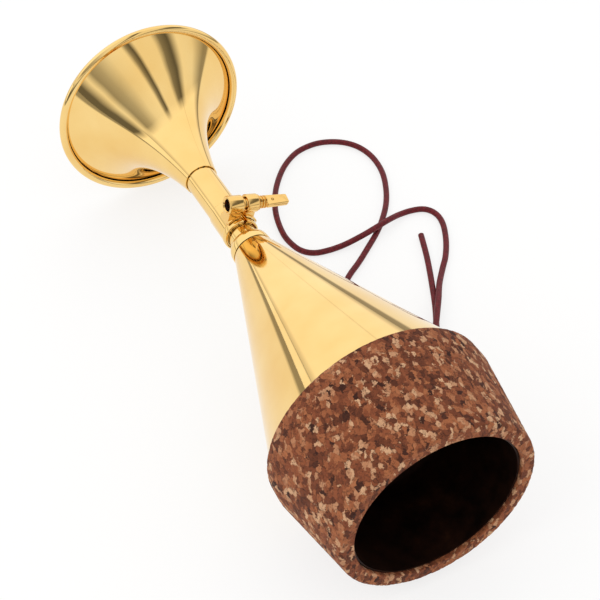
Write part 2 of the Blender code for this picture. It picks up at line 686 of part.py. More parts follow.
# Local Z of the mute's axis points to the cork and local X points down.
mute_axis = empty("mute axis", (axis_start, 0.0, axis_height), (0.0, math.pi / 2 - rise, 0.0))
screw_axis = empty("screw axis", (-BARREL_HEIGHT * math.cos(CLAMP_TILT),
                                  BARREL_HEIGHT * math.sin(CLAMP_TILT), barrel_station),
                   (math.pi / 2, 0.0, math.pi - CLAMP_TILT), mute_axis)
paddle_axis = empty("paddle axis", (0.0, 0.0, 0.0), (0.0, 0.0, PADDLE_ANGLE), screw_axis)

strap_station = cone_front + STRAP_STATION
strap_radius = straight_to(cone_line, strap_station)
strap_axis = empty("strap axis", (strap_radius * math.cos(STRAP_ANGLE),
                                  strap_radius * math.sin(STRAP_ANGLE), strap_station),
                   (0.0, math.pi / 2 + cone_slope, STRAP_ANGLE), mute_axis)
eye_height = PAD_HEIGHT - LAP_GAP + EYE_RADIUS
eye_axis = empty("eye axis", (0.0, 0.0, eye_height), (math.pi / 2, 0.0, 0.0), strap_axis)
bight_axis = empty("bight axis", (0.0, 0.0, eye_height + BIGHT_RADIUS),
                   (0.0, math.pi / 2, 0.0), strap_axis)

make_bell()
make_slide_tube()
make_collar()
make_lug("threaded_lug", -1, THREADED_BARREL_LENGTH, brass("threaded lug brass"))
make_lug("plain_lug", 1, PLAIN_BARREL_LENGTH, brass("plain lug brass"))
make_screw()
make_neck()
make_cone()
make_cork()
make_strap_eye()
lace_leather = material("lace leather", (0.16, 0.012, 0.018), 0.5, 0.0)
make_knot(lace_leather)
loop_route = [Vector(point) * MM for point in LOOP_ROUTE]
loop_route = [knot_exit(loop_route[0]), *loop_route, knot_exit(loop_route[-1])]
make_lace("lace_loop", loop_route, LOOP_POINTS, lace_leather)
tail_route = [Vector(point) * MM for point in TAIL_ROUTE]
make_lace("lace_tail", [knot_exit(tail_route[0]), *tail_route], TAIL_POINTS, lace_leather)
apply_modifiers()
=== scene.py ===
import json
import math

import bmesh
import bpy
from mathutils import Matrix, Vector, noise


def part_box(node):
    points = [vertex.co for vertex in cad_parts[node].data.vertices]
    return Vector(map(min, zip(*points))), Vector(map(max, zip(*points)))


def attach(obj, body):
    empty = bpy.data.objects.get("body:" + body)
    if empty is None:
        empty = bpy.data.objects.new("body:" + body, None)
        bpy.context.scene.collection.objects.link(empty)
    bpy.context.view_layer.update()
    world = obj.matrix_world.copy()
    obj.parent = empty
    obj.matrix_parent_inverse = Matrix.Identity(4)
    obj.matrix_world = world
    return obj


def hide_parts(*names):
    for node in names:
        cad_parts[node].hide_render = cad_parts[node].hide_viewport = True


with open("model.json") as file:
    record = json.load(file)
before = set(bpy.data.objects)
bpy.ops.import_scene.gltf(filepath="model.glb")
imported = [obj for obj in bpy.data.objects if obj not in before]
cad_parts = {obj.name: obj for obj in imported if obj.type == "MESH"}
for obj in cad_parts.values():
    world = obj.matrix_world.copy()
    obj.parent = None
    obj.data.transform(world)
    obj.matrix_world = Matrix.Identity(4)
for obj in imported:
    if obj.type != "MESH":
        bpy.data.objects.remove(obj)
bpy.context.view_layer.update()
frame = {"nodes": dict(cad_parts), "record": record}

mm = 0.001
whole = math.tau

# Where the mute lies: its axis follows the bell's slide, through the middle of the neck tube.
joints = {joint["name"]: joint for joint in frame["record"]["behaviour"]["joints"]}
axisWay = Vector(joints["bell_slide"]["axis"]).normalized()
neckLow, neckHigh = (Vector(corner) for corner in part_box("neck_tube"))
neckMiddleStation = 75.074 * mm        # along the axis from the bell's front
muteStart = (neckLow + neckHigh) / 2 - axisWay * neckMiddleStation
muteDown = Vector((axisWay.z, 0.0, -axisWay.x))
screwWay = -Vector(joints["thumb_screw_turn"]["axis"]).normalized()
screwStart = Vector(joints["thumb_screw_turn"]["pos_m"])


def placing(start, xWay, zWay):
    yWay = zWay.cross(xWay)
    matrix = Matrix((xWay, yWay, zWay)).transposed().to_4x4()
    matrix.translation = start
    return matrix


mutePlace = placing(muteStart, muteDown, axisWay)
# In the screw's frame X is outwards from the tube, Y to the cork and Z along the screw.
clampPlace = placing(screwStart, axisWay.cross(screwWay), screwWay)

camera = {"place": (0.32435, -0.16064, 0.39873), "look": (-0.61972, 0.31855, -0.71727),
          "lens": 92.965, "sensor": 36.0, "shift": (0.01361, 0.00711), "near": 0.01}


def makeCamera():
    data = bpy.data.cameras.new("camera")
    data.lens = camera["lens"]
    data.sensor_width = camera["sensor"]
    data.shift_x, data.shift_y = camera["shift"]
    data.clip_start = camera["near"]
    holder = bpy.data.objects.new("camera", data)
    holder.location = camera["place"]
    holder.rotation_euler = Vector(camera["look"]).to_track_quat("-Z", "Y").to_euler()
    bpy.context.scene.collection.objects.link(holder)
    bpy.context.scene.camera = holder


makeCamera()
bpy.context.scene.view_settings.view_transform = "Standard"
print("camera done")


def linear(hexColour):
    # sRGB hex to linear colour with alpha
    parts = [int(hexColour[i:i + 2], 16) / 255 for i in (1, 3, 5)]
    return tuple(c / 12.92 if c <= 0.04045 else ((c + 0.055) / 1.055) ** 2.4
                 for c in parts) + (1.0,)


def newMaterial(name):
    material = bpy.data.materials.new(name)
    material.use_nodes = True
    return material, material.node_tree, material.node_tree.nodes["Principled BSDF"]


def addNode(tree, kind, inputs=None, stops=(), **settings):
    # Adds a node with its settings, its links or socket values, and a ramp's stops.
    node = tree.nodes.new(kind)
    for key, value in settings.items():
        setattr(node, key, value)
    for key, value in (inputs or {}).items():
        if isinstance(value, bpy.types.NodeSocket):
            tree.links.new(value, node.inputs[key])
        else:
            node.inputs[key].default_value = value
    if stops:
        elements = node.color_ramp.elements
        while len(elements) < len(stops):
            elements.new(0.5)
        for element, (position, colour) in zip(elements, stops):
            element.position = position
            element.color = colour
    return node


def grey(value):
    return (value, value, value, 1.0)


def toned(stops):
    # Ramp stops from (position, hex colour) pairs
    return [(position, linear(colour)) for position, colour in stops]


brassLooks = {
    "polished lacquered brass": {"low": "#f0c678", "high": "#f7d48c", "roughness": 0.035,
                                 "bump": 0.012, "gritMm": 0.5, "coat": 0.15},
    "polished cast brass": {"low": "#eec070", "high": "#f5cd82", "roughness": 0.09,
                            "bump": 0.06, "gritMm": 0.7, "coat": 0.15},
    "turned brass": {"low": "#e2b05a", "high": "#efc274", "roughness": 0.14,
                     "bump": 0.08, "gritMm": 0.35, "coat": 0.1},
}
lacquer = {"driftMm": 22, "coatRoughness": 0.04, "reliefMm": 0.05}


def makeBrass(name):
    # Brass under clear lacquer, polished, cast or turned: a warm mirror whose tint drifts
    # a little where the lacquer is thicker, with tool marks that soften its highlights.
    look = brassLooks[name]
    material, tree, shader = newMaterial(name)
    place = addNode(tree, "ShaderNodeTexCoord").outputs["Object"]
    drift = addNode(tree, "ShaderNodeTexNoise", {
        "Vector": place, "Scale": 1 / (lacquer["driftMm"] * mm), "Detail": 3.0, "Roughness": 0.5})
    tint = addNode(tree, "ShaderNodeValToRGB", {"Fac": drift.outputs["Fac"]},
                   toned(((0.3, look["low"]), (0.7, look["high"]))))
    tree.links.new(tint.outputs["Color"], shader.inputs["Base Color"])
    # Real tool marks are far finer. They are drawn this coarse so that they show.
    grit = addNode(tree, "ShaderNodeTexNoise", {
        "Vector": place, "Scale": 1 / (look["gritMm"] * mm), "Detail": 4.0, "Roughness": 0.6})
    gloss = addNode(tree, "ShaderNodeMapRange", {"Value": grit.outputs["Fac"],
                                                 "From Min": 0.3, "From Max": 0.8,
                                                 "To Min": look["roughness"] * 0.8,
                                                 "To Max": look["roughness"] * 1.5})
    tree.links.new(gloss.outputs["Result"], shader.inputs["Roughness"])
    relief = addNode(tree, "ShaderNodeBump", {
        "Height": grit.outputs["Fac"], "Strength": look["bump"], "Distance": lacquer["reliefMm"] * mm})
    tree.links.new(relief.outputs["Normal"], shader.inputs["Normal"])
    shader.inputs["Metallic"].default_value = 1.0
    shader.inputs["Coat Weight"].default_value = look["coat"]
    shader.inputs["Coat Roughness"].default_value = lacquer["coatRoughness"]
    return material


# The near-black tones are painted shade for surfaces inside the hollows: the cone, neck, base shell,
# rim curl and tapped bore.
dullShadedLook = {"stainMm": 7, "roughness": (0.35, 0.7), "metallic": 0.7,
            "tones": ((0.35, "#1d0f0a"), (0.6, "#3a1f12"), (0.8, "#55331b"))}


def makeDullShadedBrass(name):
    # Unlacquered brass inside the body, half matte, in soft patches of dark brown. Its tones are kept
    # near black as painted shade for the darkness inside the hollows.
    material, tree, shader = newMaterial(name)
    place = addNode(tree, "ShaderNodeTexCoord").outputs["Object"]
    stain = addNode(tree, "ShaderNodeTexNoise", {
        "Vector": place, "Scale": 1 / (dullShadedLook["stainMm"] * mm), "Detail": 6.0, "Roughness": 0.6})
    tint = addNode(tree, "ShaderNodeValToRGB", {"Fac": stain.outputs["Fac"]},
                   toned(dullShadedLook["tones"]))
    tree.links.new(tint.outputs["Color"], shader.inputs["Base Color"])
    smooth, matte = dullShadedLook["roughness"]
    gloss = addNode(tree, "ShaderNodeMapRange", {
        "Value": stain.outputs["Fac"], "To Min": smooth, "To Max": matte})
    tree.links.new(gloss.outputs["Result"], shader.inputs["Roughness"])
    shader.inputs["Metallic"].default_value = dullShadedLook["metallic"]
    return material


corkLook = {"crumbMm": 1.9, "wanderMm": 1.7, "shiftMm": 3.4, "speckMm": 0.8, "gapMm": 2.6,
            "reliefMm": 0.45, "relief": 0.7, "roughness": 0.8, "specular": 0.3,
            "lean": (0.5, 0.3, 0.9), "squash": (1.0, 1.5, 0.8), "gapTone": "#2c1209",
            "tones": ((0.0, "#3b1a0d"), (0.08, "#62311b"), (0.4, "#89492b"),
                      (0.75, "#aa663f"), (1.0, "#d8a981"))}


def makeCork():
    # Agglomerated cork: crumbs of 1 to 3 mm pressed together, each its own brown from tan to
    # red-brown, with a few dark bark crumbs and dark gaps between some of them.
    material, tree, shader = newMaterial("agglomerated cork")
    place = addNode(tree, "ShaderNodeTexCoord").outputs["Object"]
    wander = addNode(tree, "ShaderNodeTexNoise", {
        "Vector": place, "Scale": 1 / (corkLook["wanderMm"] * mm), "Detail": 4.0, "Roughness": 0.65})
    centred = addNode(tree, "ShaderNodeVectorMath", {0: wander.outputs["Color"],
                                                     1: (0.5, 0.5, 0.5)}, operation="SUBTRACT")
    shift = addNode(tree, "ShaderNodeVectorMath", {0: centred.outputs["Vector"],
                                                   "Scale": corkLook["shiftMm"] * mm},
                    operation="SCALE")
    bent = addNode(tree, "ShaderNodeVectorMath", {0: place, 1: shift.outputs["Vector"]},
                   operation="ADD").outputs["Vector"]
    squashed = addNode(tree, "ShaderNodeMapping", {
        "Vector": bent, "Rotation": corkLook["lean"], "Scale": corkLook["squash"]}).outputs["Vector"]
    crumbs = {"Vector": squashed, "Scale": 1 / (corkLook["crumbMm"] * mm)}
    cells = addNode(tree, "ShaderNodeTexVoronoi", crumbs)
    seams = addNode(tree, "ShaderNodeTexVoronoi", crumbs, feature="DISTANCE_TO_EDGE")
    chosen = addNode(tree, "ShaderNodeSeparateColor", {"Color": cells.outputs["Color"]})
    granule = addNode(tree, "ShaderNodeValToRGB", {"Fac": chosen.outputs["Red"]},
                      toned(corkLook["tones"])).outputs["Color"]
    specks = addNode(tree, "ShaderNodeTexNoise", {
        "Vector": place, "Scale": 1 / (corkLook["speckMm"] * mm), "Detail": 6.0, "Roughness": 0.75})
    speckTint = addNode(tree, "ShaderNodeValToRGB", {"Fac": specks.outputs["Fac"]},
                        [(0.37, grey(0.3)), (0.47, grey(0.88)),
                         (0.7, grey(1.0))]).outputs["Color"]
    mottled = addNode(tree, "ShaderNodeMix", {"Factor": 0.85, 6: granule, 7: speckTint},
                      data_type="RGBA", blend_type="MULTIPLY")
    # Only some of the joints between crumbs are open enough to look dark.
    opened = addNode(tree, "ShaderNodeTexNoise", {
        "Vector": place, "Scale": 1 / (corkLook["gapMm"] * mm), "Detail": 2.0})
    joint = addNode(tree, "ShaderNodeValToRGB", {"Fac": seams.outputs["Distance"]},
                    [(0.0, grey(1.0)), (0.07, grey(0.0))]).outputs["Color"]
    depth = addNode(tree, "ShaderNodeValToRGB", {"Fac": opened.outputs["Fac"]},
                    [(0.42, grey(0.12)), (0.62, grey(0.95))]).outputs["Color"]
    share = addNode(tree, "ShaderNodeMath", {0: joint, 1: depth}, operation="MULTIPLY")
    joined = addNode(tree, "ShaderNodeMix", {"Factor": share.outputs[0],
                                             6: mottled.outputs[2],
                                             7: linear(corkLook["gapTone"])}, data_type="RGBA")
    tree.links.new(joined.outputs[2], shader.inputs["Base Color"])
    height = addNode(tree, "ShaderNodeMath", {0: seams.outputs["Distance"],
                                              1: specks.outputs["Fac"]}, operation="ADD")
    relief = addNode(tree, "ShaderNodeBump", {"Height": height.outputs[0],
                                              "Strength": corkLook["relief"],
                                              "Distance": corkLook["reliefMm"] * mm})
    tree.links.new(relief.outputs["Normal"], shader.inputs["Normal"])
    shader.inputs["Roughness"].default_value = corkLook["roughness"]
    shader.inputs["Specular IOR Level"].default_value = corkLook["specular"]
    return material


leatherLook = {"creaseMm": 0.9, "reliefMm": 0.15, "relief": 0.35, "roughness": 0.5,
               "specular": 0.3,
               "tones": ((0.3, "#40070d"), (0.55, "#640d16"), (0.8, "#86242e"))}


def makeLeather():
    # Round dyed leather lace: dark wine red, waxed, with fine creases across it.
    material, tree, shader = newMaterial("dyed leather lace")
    place = addNode(tree, "ShaderNodeTexCoord").outputs["Object"]
    crease = addNode(tree, "ShaderNodeTexNoise", {
        "Vector": place, "Scale": 1 / (leatherLook["creaseMm"] * mm), "Detail": 6.0, "Roughness": 0.65})
    tint = addNode(tree, "ShaderNodeValToRGB", {"Fac": crease.outputs["Fac"]},
                   toned(leatherLook["tones"]))
    tree.links.new(tint.outputs["Color"], shader.inputs["Base Color"])
    relief = addNode(tree, "ShaderNodeBump", {"Height": crease.outputs["Fac"],
                                              "Strength": leatherLook["relief"],
                                              "Distance": leatherLook["reliefMm"] * mm})
    tree.links.new(relief.outputs["Normal"], shader.inputs["Normal"])
    shader.inputs["Roughness"].default_value = leatherLook["roughness"]
    shader.inputs["Specular IOR Level"].default_value = leatherLook["specular"]
    return material


brass = makeBrass("polished lacquered brass")
castBrass = makeBrass("polished cast brass")
turnedBrass = makeBrass("turned brass")
# Dark brass whose near-black tones are painted shade, used inside the hollows.
dullShadedBrass = makeDullShadedBrass("unlacquered brass with painted shade")
cork = makeCork()
leather = makeLeather()
print("materials done")


def addPiece(name, mesh, body, nodes, materials, sharp=32):
    for material in materials:
        mesh.materials.append(material)
    piece = bpy.data.objects.new(name, mesh)
    bpy.context.scene.collection.objects.link(piece)
    mesh.shade_smooth()
    mesh.set_sharp_from_angle(angle=math.radians(sharp))
    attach(piece, body)
    for node in nodes:
        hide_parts(node)


def turnedMesh(name, outline, segments, place, insideFrom=None):
    # The outline's (radius, station) points run down the outer side and back up the inside.
    closed = outline[0][0] > 0 and outline[-1][0] > 0
    count = len(outline)
    points = []
    for i in range(segments):
        turn = whole * (i + 0.5) / segments
        points += [place @ Vector((radius * math.cos(turn), radius * math.sin(turn), station))
                   for radius, station in outline]
    faces = []
    inside = []
    for i in range(segments):
        here, there = i * count, (i + 1) % segments * count
        for j in range(count if closed else count - 1):
            k = (j + 1) % count
            faces.append((here + j, here + k, there + k, there + j))
            inside.append(1 if insideFrom is not None and j >= insideFrom else 0)
    mesh = bpy.data.meshes.new(name)
    mesh.from_pydata(points, [], faces)
    mesh.polygons.foreach_set("material_index", inside)
    if not closed:
        work = bmesh.new()
        work.from_mesh(mesh)
        bmesh.ops.remove_doubles(work, verts=work.verts, dist=0.0001 * mm)
        work.to_mesh(mesh)
        work.free()
    return mesh


def blockMesh(name, low, high, place):
    # A box between two corners in millimetres of the given frame
    low, high = [[value * mm for value in corner] for corner in (low, high)]
    work = bmesh.new()
    bmesh.ops.create_cube(work, size=1.0)
    for vert in work.verts:
        vert.co = place @ Vector([low[k] + (high[k] - low[k]) * (vert.co[k] + 0.5)
                                  for k in range(3)])
    mesh = bpy.data.meshes.new(name)
    work.to_mesh(mesh)
    work.free()
    return mesh


def carve(mesh, cuts):
    # Applies (operation, tool mesh) pairs in turn and gives back the finished mesh.
    holder = bpy.data.objects.new("carving", mesh)
    bpy.context.scene.collection.objects.link(holder)
    tools = []
    for operation, toolMesh in cuts:
        tool = bpy.data.objects.new("tool", toolMesh)
        bpy.context.scene.collection.objects.link(tool)
        modifier = holder.modifiers.new(operation, "BOOLEAN")
        modifier.operation = operation
        modifier.solver = "EXACT"
        modifier.object = tool
        tools.append(tool)
    bpy.context.view_layer.update()
    done = bpy.data.meshes.new_from_object(
        holder.evaluated_get(bpy.context.evaluated_depsgraph_get()))
    for used in [holder, *tools]:
        bpy.data.objects.remove(used)
    done.materials.clear()
    return done


def soften(mesh, width, segments):
    # Rounds the edges a little, so that they catch the light.
    holder = bpy.data.objects.new("softening", mesh)
    bpy.context.scene.collection.objects.link(holder)
    modifier = holder.modifiers.new("edges", "BEVEL")
    modifier.width = width
    modifier.segments = segments
    modifier.limit_method = "ANGLE"
    modifier.angle_limit = math.radians(40)
    bpy.context.view_layer.update()
    done = bpy.data.meshes.new_from_object(
        holder.evaluated_get(bpy.context.evaluated_depsgraph_get()))
    bpy.data.objects.remove(holder)
    return done


def steps(start, end, count):
    return [start + (end - start) * i / count for i in range(count + 1)]


def arc(centre, radii, angles):
    # Angle 0 points to the rear along the axis and a quarter turn points outwards.
    return [(centre[0] + radii[0] * math.sin(a), centre[1] + radii[1] * math.cos(a))
            for a in angles]


lace = {"radius": 1.125, "loopLength": 0.404, "tailLength": 0.108, "finePoints": 10}
# The same route as the solid's, in metres: from the knot, round the loop and back.
loopRoute = (
    (0.0446, 0.025, 0.0012), (0.043, 0.033, 0.0012), (0.037, 0.04, 0.0012),
    (0.0295, 0.0455, 0.0022), (0.021, 0.051, 0.0037), (0.0125, 0.057, 0.0039),
    (0.0045, 0.0626, 0.0037), (-0.003, 0.0676, 0.0023), (-0.01, 0.0732, 0.0012),
    (-0.0153, 0.0777, 0.0012), (-0.0226, 0.0823, 0.0012), (-0.0306, 0.0858, 0.0012),
    (-0.0364, 0.0864, 0.0012), (-0.0406, 0.0842, 0.0012), (-0.0424, 0.0795, 0.0012),
    (-0.0422, 0.0736, 0.0017), (-0.0399, 0.0674, 0.0034), (-0.0381, 0.0612, 0.0038),
    (-0.037, 0.0546, 0.0033), (-0.0373, 0.0476, 0.0016), (-0.0376, 0.0413, 0.0012),
    (-0.0386, 0.036, 0.0012), (-0.0412, 0.0324, 0.0012), (-0.0456, 0.0304, 0.0012),
    (-0.0526, 0.0298, 0.0012), (-0.0622, 0.0317, 0.0012), (-0.0706, 0.0351, 0.0012),
    (-0.079, 0.0402, 0.0012), (-0.0872, 0.0475, 0.0012), (-0.0925, 0.0555, 0.0012),
    (-0.094, 0.0634, 0.0012), (-0.0927, 0.0699, 0.0012), (-0.0891, 0.0757, 0.0012),
    (-0.0836, 0.0795, 0.0012), (-0.076, 0.0811, 0.0012), (-0.067, 0.0801, 0.0012),
    (-0.0582, 0.0768, 0.0012), (-0.0502, 0.0723, 0.0012), (-0.043, 0.0665, 0.0012),
    (-0.0376, 0.061, 0.0012), (-0.0324, 0.0546, 0.0012), (-0.0271, 0.0478, 0.0012),
    (-0.022, 0.0406, 0.0012), (-0.0145, 0.0325, 0.0012), (-0.0035, 0.0265, 0.0012),
    (0.01, 0.0226, 0.0012), (0.023, 0.0196, 0.0012), (0.0315, 0.018, 0.0015),
)
tailRoute = (
    (0.0496, 0.022, 0.0012), (0.051, 0.029, 0.0012), (0.0474, 0.0366, 0.0012),
    (0.039, 0.0428, 0.0012), (0.0275, 0.0492, 0.0012), (0.0165, 0.0549, 0.0012),
    (0.006, 0.0606, 0.0012), (-0.0045, 0.0655, 0.0012), (-0.0175, 0.0711, 0.0012),
    (-0.0292, 0.0754, 0.0012),
)
knot = {"centre": (0.041545, 0.016664, 0.0025), "half": (3.5, 2.5, 2.5), "gap": 0.3,
        "turnScale": 0.72, "turnFlat": 0.75, "turnHeight": 0.62, "turnPoints": 120, "tube": 1.0,
        "bightHalf": 2.4, "bightPoints": 48, "eyeAcross": (0.0, 0.906308, 0.422591)}


def knotExit(towards):
    centre = Vector(knot["centre"])
    way = (towards - centre).normalized()
    reach = Vector([way[k] / (knot["half"][k] * mm) for k in range(3)]).length
    return centre + way * (1 / reach + knot["gap"] * mm)


def smoothRoute(points):
    # A Catmull-Rom curve through the points, never lower than the table lets the lace lie.
    path = [points[0] * 2 - points[1], *points, points[-1] * 2 - points[-2]]
    table = min(point.z for point in points)
    fine = []
    for a, b, c, d in zip(path, path[1:], path[2:], path[3:]):
        for i in range(lace["finePoints"]):
            t = i / lace["finePoints"]
            fine.append(0.5 * (2 * b + (c - a) * t + (2 * a - 5 * b + 4 * c - d) * t ** 2
                               + (3 * b - a - 3 * c + d) * t ** 3))
    fine.append(points[-1])
    for point in fine:
        point.z = max(point.z, table)
    return fine


def tubeCurve(name, points, radius, cyclic=False):
    curve = bpy.data.curves.new(name, "CURVE")
    curve.dimensions = "3D"
    curve.bevel_depth = radius
    curve.bevel_resolution = 6
    curve.use_fill_caps = not cyclic
    spline = curve.splines.new("POLY")
    spline.points.add(len(points) - 1)
    spline.use_cyclic_u = cyclic
    for point, place in zip(spline.points, points):
        point.co = (*place, 1.0)
    curve.materials.append(leather)
    piece = bpy.data.objects.new(name, curve)
    bpy.context.scene.collection.objects.link(piece)
    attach(piece, "cone")
    return piece


def makeLace():
    loopPoints = [Vector(point) for point in loopRoute]
    loopPoints = [knotExit(loopPoints[0]), *loopPoints, knotExit(loopPoints[-1])]
    tailPoints = [Vector(point) for point in tailRoute]
    tailPoints = [knotExit(tailPoints[0]), *tailPoints]
    loop = tubeCurve("lace_loop_leather", smoothRoute(loopPoints), lace["radius"] * mm)
    tail = tubeCurve("lace_tail_leather", smoothRoute(tailPoints), lace["radius"] * mm)
    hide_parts("lace_loop")
    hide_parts("lace_tail")
    # The knot: three crossing turns pulled tight, and the bight that holds the eye.
    centre = Vector(knot["centre"])
    size = knot["turnScale"] * mm
    turns = []
    for i in range(knot["turnPoints"]):
        t = whole * i / knot["turnPoints"]
        turns.append(centre + Vector(((math.sin(t) + 2 * math.sin(2 * t)) * size,
                                      (math.cos(t) - 2 * math.cos(2 * t)) * size
                                      * knot["turnFlat"],
                                      -math.sin(3 * t) * knot["turnHeight"] * mm)))
    tied = tubeCurve("lace_knot_turns", turns, knot["tube"] * mm, True)
    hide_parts("lace_knot")
    eyeLow, eyeHigh = (Vector(corner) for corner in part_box("strap_eye"))
    hole = (eyeLow + eyeHigh) / 2
    outwards = (centre - hole).normalized()
    across = Vector(knot["eyeAcross"])
    across = (across - outwards * across.dot(outwards)).normalized()
    reach = (centre - hole).length / 2
    bight = [hole + outwards * reach * (1 - math.cos(a))
             + across * knot["bightHalf"] * mm * math.sin(a)
             for a in steps(0.0, whole, knot["bightPoints"])[:-1]]
    ring = tubeCurve("lace_bight", bight, knot["tube"] * mm, True)
    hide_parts("lace_knot")


makeLace()
print("lace done")

gaps = {"lap": 0.2, "seam": 0.3}
bell = {"mouth": 33.65, "length": 46.3, "power": 3.88, "wall": 0.35, "bead": 1.45,
        "curl": math.radians(300), "throat": 6.1, "segments": 256, "flareSteps": 60,
        "innerCurlSteps": 24, "outerCurlSteps": 40, "wireSteps": 16}
flareScale = bell["length"] / ((bell["mouth"] / bell["throat"]) ** (1 / bell["power"]) - 1)
mouthSlope = math.atan(bell["power"] * bell["mouth"] / flareScale)
curlInside = bell["bead"] - bell["wall"]
mouthStation = bell["bead"] - curlInside * math.sin(mouthSlope)
beadCentre = (bell["mouth"] + curlInside * math.cos(mouthSlope), bell["bead"])
throatStation = mouthStation + bell["length"]
tube = {"radius": 5.55, "wall": 0.35, "end": throatStation + 32.5, "seat": 5.8,
        "seatSteps": 6, "edge": 0.1, "segments": 160}
cone = {"front": tube["end"] + 9.5, "end": tube["end"] + 93.9, "small": 7.1, "large": 36.1,
        "wall": 0.4, "steps": 12, "segments": 256}
coneSlope = math.atan((cone["large"] - cone["small"]) / (cone["end"] - cone["front"]))
openEnd = cone["end"] + 36.8


def metres(outline):
    return [(radius * mm, station * mm) for radius, station in outline]


def flarePoint(distance, depth):
    radius = bell["mouth"] * (1 + distance / flareScale) ** -bell["power"]
    slope = math.atan(bell["power"] * radius / (flareScale + distance))
    return (radius - depth * math.cos(slope), mouthStation + distance - depth * math.sin(slope))


def makeBell():
    ratio = 1 + bell["length"] / flareScale
    distances = [flareScale * (ratio ** share - 1)
                 for share in steps(0.0, 1.0, bell["flareSteps"])]
    curlStart = math.pi * 1.5 - mouthSlope
    curlEnd = curlStart - bell["curl"]
    outline = [flarePoint(distance, 0.0) for distance in reversed(distances)]
    outline += arc(beadCentre, (curlInside, curlInside),
                   steps(curlStart, curlEnd, bell["innerCurlSteps"])[1:])
    outline += arc(beadCentre, (bell["bead"], bell["bead"]),
                   steps(curlEnd, curlStart, bell["outerCurlSteps"]))
    outline += [flarePoint(distance, bell["wall"]) for distance in distances[1:]]
    mesh = turnedMesh("bell_brass", metres(outline), bell["segments"], mutePlace)
    addPiece("bell_brass", mesh, "bell", ["bell_flare"], [brass])
    wire = curlInside - bell["wall"]
    ring = arc(beadCentre, (wire, wire), steps(0.0, whole, bell["wireSteps"])[:-1])
    mesh = turnedMesh("rim_wire_brass", metres(ring), bell["segments"], mutePlace)
    addPiece("rim_wire_brass", mesh, "bell", ["rim_wire"], [dullShadedBrass])


clamp = {"height": 10.1, "behindTube": 4.3, "split": 1.4, "tubeSlot": 1.0, "slotLength": 11.0,
         "collarLength": 12.5, "collarWall": 0.35, "beadHeight": 0.25, "beadLength": 2.6,
         "barrel": 3.2, "round": 0.45, "threaded": 5.5, "plain": 4.5, "web": 4.2, "saddle": 0.9,
         "saddleWidth": 6.0, "reach": 5.4, "collarRound": 0.2, "faceStep": 0.1,
         "webInset": 0.8, "footEdge": 0.35, "footCorner": 0.1,
         "past": 1, "wide": 9, "long": 20}        # how far the cutting tools reach
collarEnd = tube["end"] + gaps["lap"]
collarFront = collarEnd - clamp["collarLength"]
collarBore = tube["radius"] + gaps["lap"]
collarRadius = collarBore + clamp["collarWall"]
barrelStation = tube["end"] - clamp["behindTube"]


def makeTube():
    seat = [bell["length"] - tube["seat"] * share
            for share in steps(0.0, 1.0, tube["seatSteps"])[1:]]
    skin = bell["wall"] + gaps["lap"]
    bore = tube["radius"] - tube["wall"]
    edge = tube["edge"]
    outline = [(tube["radius"] - edge, tube["end"]), (tube["radius"], tube["end"] - edge),
               (tube["radius"], throatStation)]
    outline += [flarePoint(distance, skin) for distance in seat]
    outline += [flarePoint(distance, skin + tube["wall"]) for distance in reversed(seat)]
    outline += [(bore, throatStation), (bore, tube["end"])]
    mesh = turnedMesh("tube", metres(outline), tube["segments"], mutePlace)
    top = -clamp["height"]
    slotFront = clamp["behindTube"] - clamp["slotLength"]
    half = clamp["tubeSlot"] / 2
    slot = blockMesh("slot", (top, slotFront, -half),
                     (0.0, clamp["behindTube"] + clamp["past"], half), clampPlace)
    mesh = carve(mesh, [("DIFFERENCE", slot)])
    addPiece("slide_tube_brass", mesh, "bell", ["slide_tube"], [brass])

    bead = arc((collarRadius, collarEnd - clamp["beadLength"] / 2),
               (clamp["beadHeight"], clamp["beadLength"] / 2), steps(0.0, math.pi, 14))
    turn = clamp["collarRound"]
    front = arc((collarRadius - turn, collarFront + turn), (turn, turn),
                steps(math.pi / 2, math.pi, 4))
    outline = bead + front + [(collarBore, collarFront), (collarBore, collarEnd)]
    mesh = turnedMesh("collar", metres(outline), tube["segments"], mutePlace)
    half = clamp["split"] / 2
    split = blockMesh("split", (top, -clamp["long"], -half), (0.0, clamp["long"], half),
                      clampPlace)
    mesh = carve(mesh, [("DIFFERENCE", split)])
    addPiece("split_collar_brass", mesh, "bell", ["split_collar"], [brass])


screw = {"radius": 1.8, "gap": 0.3, "reach": 2.7, "pitch": 0.8, "thread": 0.25, "sink": 0.4,
         "washer": 2.75, "washerThick": 0.5, "shoulder": 2.2, "shoulderLength": 2.6,
         "grooves": 2, "groove": 0.4, "segments": 64, "edge": 0.1, "round": 0.12,
         "tap": (-0.2, 0.05, 0.15), "runOut": 0.4, "point": 0.5, "tangHalf": (0.35, 1.1),
         "tangRoot": 0.2, "slack": 0.01}
washerLow = clamp["split"] / 2 + clamp["plain"] + gaps["lap"]
washerHigh = washerLow + screw["washerThick"]
shoulderLow = washerHigh + gaps["lap"]
shoulderHigh = shoulderLow + screw["shoulderLength"]


